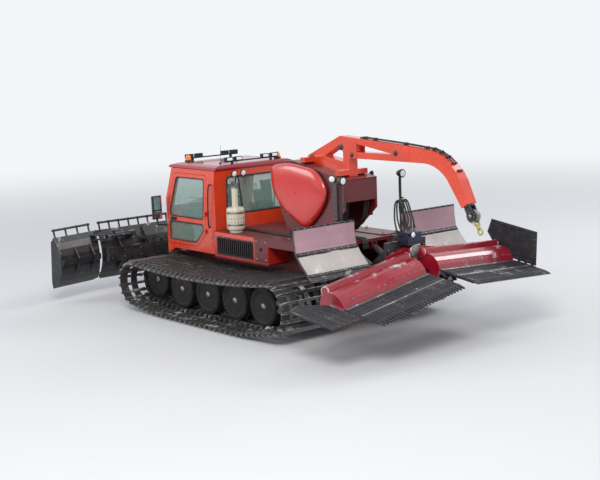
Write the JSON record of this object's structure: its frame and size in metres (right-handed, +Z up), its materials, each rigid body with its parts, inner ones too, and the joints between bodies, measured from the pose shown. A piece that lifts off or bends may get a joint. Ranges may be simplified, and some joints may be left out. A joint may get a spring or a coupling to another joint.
{
  "type": "tracked snow groomer with slewing winch, front blade and rear tiller",
  "caption": "Wide tracked snow groomer with a glazed cab, a slewing winch boom, a folding front blade and a raised rear tiller.",
  "frame": {"origin": "on the ground under the middle of the whole machine's box", "axes": "+X forward, along the longest extent, +Y to the left, +Z up"},
  "size_m": [9.5036, 5.4936, 3.45],
  "materials": {
    "dark_red": "satin",
    "body_red": "gloss",
    "orange_red": "gloss",
    "crimson": "gloss",
    "bright_red": "gloss",
    "cream": "satin",
    "black_steel": "satin",
    "blade_black": "satin",
    "gray_steel": "worn",
    "steel": "bright",
    "chrome": "polished",
    "cast_gray": "rough",
    "tyre": "matt",
    "track_rubber": "dirty",
    "guard_rubber": "matt",
    "comb_rubber": "matt",
    "black_plastic": "matt",
    "glass": "clear",
    "amber": "clear",
    "seat_fabric": "woven",
    "rope_yellow": "worn"
  },
  "bodies": {
    "root": {"frame_tub": "dark_red", "wheel_arms": "black_steel", "road_tyres": "tyre", "wheel_rims": "gray_steel", "drive_sprockets": "gray_steel", "final_drives": "black_steel", "track_left": "track_rubber", "track_right": "track_rubber", "engine_block": "cast_gray", "platform_deck": "dark_red", "side_panels": "body_red", "side_grilles": "black_plastic", "cab_shell": "orange_red", "roof_panel": "crimson", "nose_panel": "orange_red", "cab_glass": "glass", "cab_seats": "seat_fabric", "control_console": "black_plastic", "mirrors": "black_plastic", "beacons": "amber", "roof_lights": "black_plastic", "exhaust_stack": "cream", "snow_guards": "guard_rubber", "rear_lamp_posts": "black_steel", "slew_base": "gray_steel"},
    "door_left": {"door_left": "orange_red", "door_glass_left": "glass"},
    "door_right": {"door_right": "orange_red", "door_glass_right": "glass"},
    "winch": {"winch_tower": "dark_red", "winch_covers": "bright_red", "boom": "orange_red"},
    "winch_drum": {"winch_drum": "gray_steel"},
    "boom_head": {"boom_head": "black_steel", "rope_hook": "rope_yellow"},
    "boom_sheave": {"boom_sheave": "steel"},
    "blade_frame": {"blade_frame": "black_steel"},
    "blade_carrier": {"blade_carrier": "black_steel"},
    "blade": {"blade_center": "blade_black"},
    "wing_left": {"blade_wing_left": "blade_black"},
    "wing_right": {"blade_wing_right": "blade_black"},
    "blade_barrels": {"blade_barrels": "black_steel"},
    "blade_rods": {"blade_rods": "chrome"},
    "wing_barrel_left": {"wing_barrel_left": "black_steel"},
    "wing_rod_left": {"wing_rod_left": "chrome"},
    "wing_barrel_right": {"wing_barrel_right": "black_steel"},
    "wing_rod_right": {"wing_rod_right": "chrome"},
    "tiller_frame": {"tiller_frame": "black_steel"},
    "tiller_links": {"tiller_links": "black_steel"},
    "tiller_carrier": {"tiller_carrier": "black_steel"},
    "tiller_barrels": {"tiller_barrels": "black_steel"},
    "tiller_rods": {"tiller_rods": "chrome"},
    "tiller_left": {"tiller_left": "crimson", "comb_left": "comb_rubber"},
    "tiller_right": {"tiller_right": "crimson", "comb_right": "comb_rubber"},
    "rotor_left": {"rotor_left": "gray_steel"},
    "rotor_right": {"rotor_right": "gray_steel"},
    "side_wing_left": {"side_wing_left": "comb_rubber"},
    "side_wing_right": {"side_wing_right": "comb_rubber"}
  },
  "joints": [
    {"name": "door_left", "type": "hinge", "parent": "root", "child": "door_left", "pos_m": [1.41039, 1.08, 1.735], "axis": [0, 0, 1], "range_deg": [0, 80]},
    {"name": "door_right", "type": "hinge", "parent": "root", "child": "door_right", "pos_m": [1.41039, -1.08, 1.735], "axis": [0, 0, -1], "range_deg": [0, 80]},
    {"name": "winch_slew", "type": "hinge", "parent": "root", "child": "winch", "pos_m": [-0.53561, 0, 1.642], "axis": [0, 0, 1], "continuous": true},
    {"name": "drum_spin", "type": "hinge", "parent": "winch", "child": "winch_drum", "pos_m": [-0.81561, 0, 2.26], "axis": [0, 1, 0], "continuous": true},
    {"name": "head_swivel", "type": "hinge", "parent": "winch", "child": "boom_head", "pos_m": [-4.45061, 0, 2.41517], "axis": [-0.5, 0, -0.866], "continuous": true},
    {"name": "sheave_spin", "type": "hinge", "parent": "boom_head", "child": "boom_sheave", "pos_m": [-4.54561, 0, 2.25063], "axis": [0, 1, 0], "continuous": true},
    {"name": "blade_lift", "type": "hinge", "parent": "root", "child": "blade_frame", "pos_m": [2.84439, 0, 0.52], "axis": [0, -1, 0], "range_deg": [-12, 22]},
    {"name": "blade_yaw", "type": "hinge", "parent": "blade_frame", "child": "blade_carrier", "pos_m": [3.81439, 0, 0.49], "axis": [0, 0, 1], "range_deg": [-15, 15]},
    {"name": "blade_tilt", "type": "hinge", "parent": "blade_carrier", "child": "blade", "pos_m": [4.26439, 0, 0.64], "axis": [1, 0, 0], "range_deg": [-8, 8]},
    {"name": "wing_fold_left", "type": "hinge", "parent": "blade", "child": "wing_left", "pos_m": [4.66537, 1.562, 0.85], "axis": [0, 0, -1], "range_deg": [-8, 82]},
    {"name": "wing_fold_right", "type": "hinge", "parent": "blade", "child": "wing_right", "pos_m": [4.66537, -1.562, 0.85], "axis": [0, 0, 1], "range_deg": [-8, 82]},
    {"name": "blade_barrel_turn", "type": "hinge", "parent": "root", "child": "blade_barrels", "pos_m": [2.83439, 0, 0.96], "axis": [0, -1, 0], "range_deg": [-9.45, 16.91]},
    {"name": "blade_rod_slide", "type": "slide", "parent": "blade_barrels", "child": "blade_rods", "axis": [0.8809, 0, -0.4733], "range_m": [-0.1559, 0.0864]},
    {"name": "wing_barrel_turn_left", "type": "hinge", "parent": "blade", "child": "wing_barrel_left", "pos_m": [4.37439, 0.8, 1.23], "axis": [0, 0, -1], "range_deg": [-1.28, 8.5]},
    {"name": "wing_rod_slide_left", "type": "slide", "parent": "wing_barrel_left", "child": "wing_rod_left", "axis": [0.0179, 0.9998, 0], "range_m": [-0.0381, 0.3625]},
    {"name": "wing_barrel_turn_right", "type": "hinge", "parent": "blade", "child": "wing_barrel_right", "pos_m": [4.37439, -0.8, 1.23], "axis": [0, 0, 1], "range_deg": [-1.28, 8.5]},
    {"name": "wing_rod_slide_right", "type": "slide", "parent": "wing_barrel_right", "child": "wing_rod_right", "axis": [0.0179, -0.9998, 0], "range_m": [-0.0381, 0.3625]},
    {"name": "tiller_lift", "type": "hinge", "parent": "root", "child": "tiller_frame", "pos_m": [-2.10561, 0, 0.64], "axis": [0, -1, 0], "range_deg": [0, 60]},
    {"name": "tiller_link_turn", "type": "hinge", "parent": "root", "child": "tiller_links", "pos_m": [-2.10561, 0, 1.07], "axis": [0, -1, 0], "range_deg": [0, 60]},
    {"name": "tiller_level", "type": "hinge", "parent": "tiller_frame", "child": "tiller_carrier", "pos_m": [-2.84561, 0, 1.19], "axis": [0, -1, 0], "range_deg": [-60, 0]},
    {"name": "tiller_barrel_turn", "type": "hinge", "parent": "root", "child": "tiller_barrels", "pos_m": [-1.87561, 0, 1.465], "axis": [0, -1, 0], "range_deg": [0, 21.98]},
    {"name": "tiller_rod_slide", "type": "slide", "parent": "tiller_barrels", "child": "tiller_rods", "axis": [-0.8619, 0, -0.507], "range_m": [0, 0.5319]},
    {"name": "tiller_flex_left", "type": "hinge", "parent": "tiller_carrier", "child": "tiller_left", "pos_m": [-3.00561, 0, 1.53], "axis": [1, 0, 0], "range_deg": [0, 17]},
    {"name": "rotor_spin_left", "type": "hinge", "parent": "tiller_left", "child": "rotor_left", "pos_m": [-3.30561, 0.23812, 1.13529], "axis": [0, 0.9863, -0.165], "continuous": true},
    {"name": "side_fold_left", "type": "hinge", "parent": "tiller_left", "child": "side_wing_left", "pos_m": [-3.89882, 2.04476, 0.84366], "axis": [0.9903, 0.023, 0.1373], "range_deg": [0, 90]},
    {"name": "tiller_flex_right", "type": "hinge", "parent": "tiller_carrier", "child": "tiller_right", "pos_m": [-3.00561, 0, 1.53], "axis": [-1, 0, 0], "range_deg": [0, 10.5]},
    {"name": "rotor_spin_right", "type": "hinge", "parent": "tiller_right", "child": "rotor_right", "pos_m": [-3.30561, -0.28127, 1.16478], "axis": [0, 0.9986, 0.0523], "continuous": true},
    {"name": "side_fold_right", "type": "hinge", "parent": "tiller_right", "child": "side_wing_right", "pos_m": [-3.89882, -2.10932, 1.07955], "axis": [0.9903, -0.0073, 0.139], "range_deg": [0, 90]}
  ],
  "couplings": [
    {"joint": "blade_barrel_turn", "follows": "blade_lift", "ratio": 0.746},
    {"joint": "blade_rod_slide", "follows": "blade_lift", "m_per_rad": -0.3982},
    {"joint": "wing_barrel_turn_left", "follows": "wing_fold_left", "ratio": 0.0976},
    {"joint": "wing_rod_slide_left", "follows": "wing_fold_left", "m_per_rad": 0.2512},
    {"joint": "wing_barrel_turn_right", "follows": "wing_fold_right", "ratio": 0.0976},
    {"joint": "wing_rod_slide_right", "follows": "wing_fold_right", "m_per_rad": 0.2512},
    {"joint": "tiller_link_turn", "follows": "tiller_lift", "ratio": 1},
    {"joint": "tiller_level", "follows": "tiller_lift", "ratio": -1},
    {"joint": "tiller_barrel_turn", "follows": "tiller_lift", "ratio": 0.358},
    {"joint": "tiller_rod_slide", "follows": "tiller_lift", "m_per_rad": 0.5032}
  ]
}
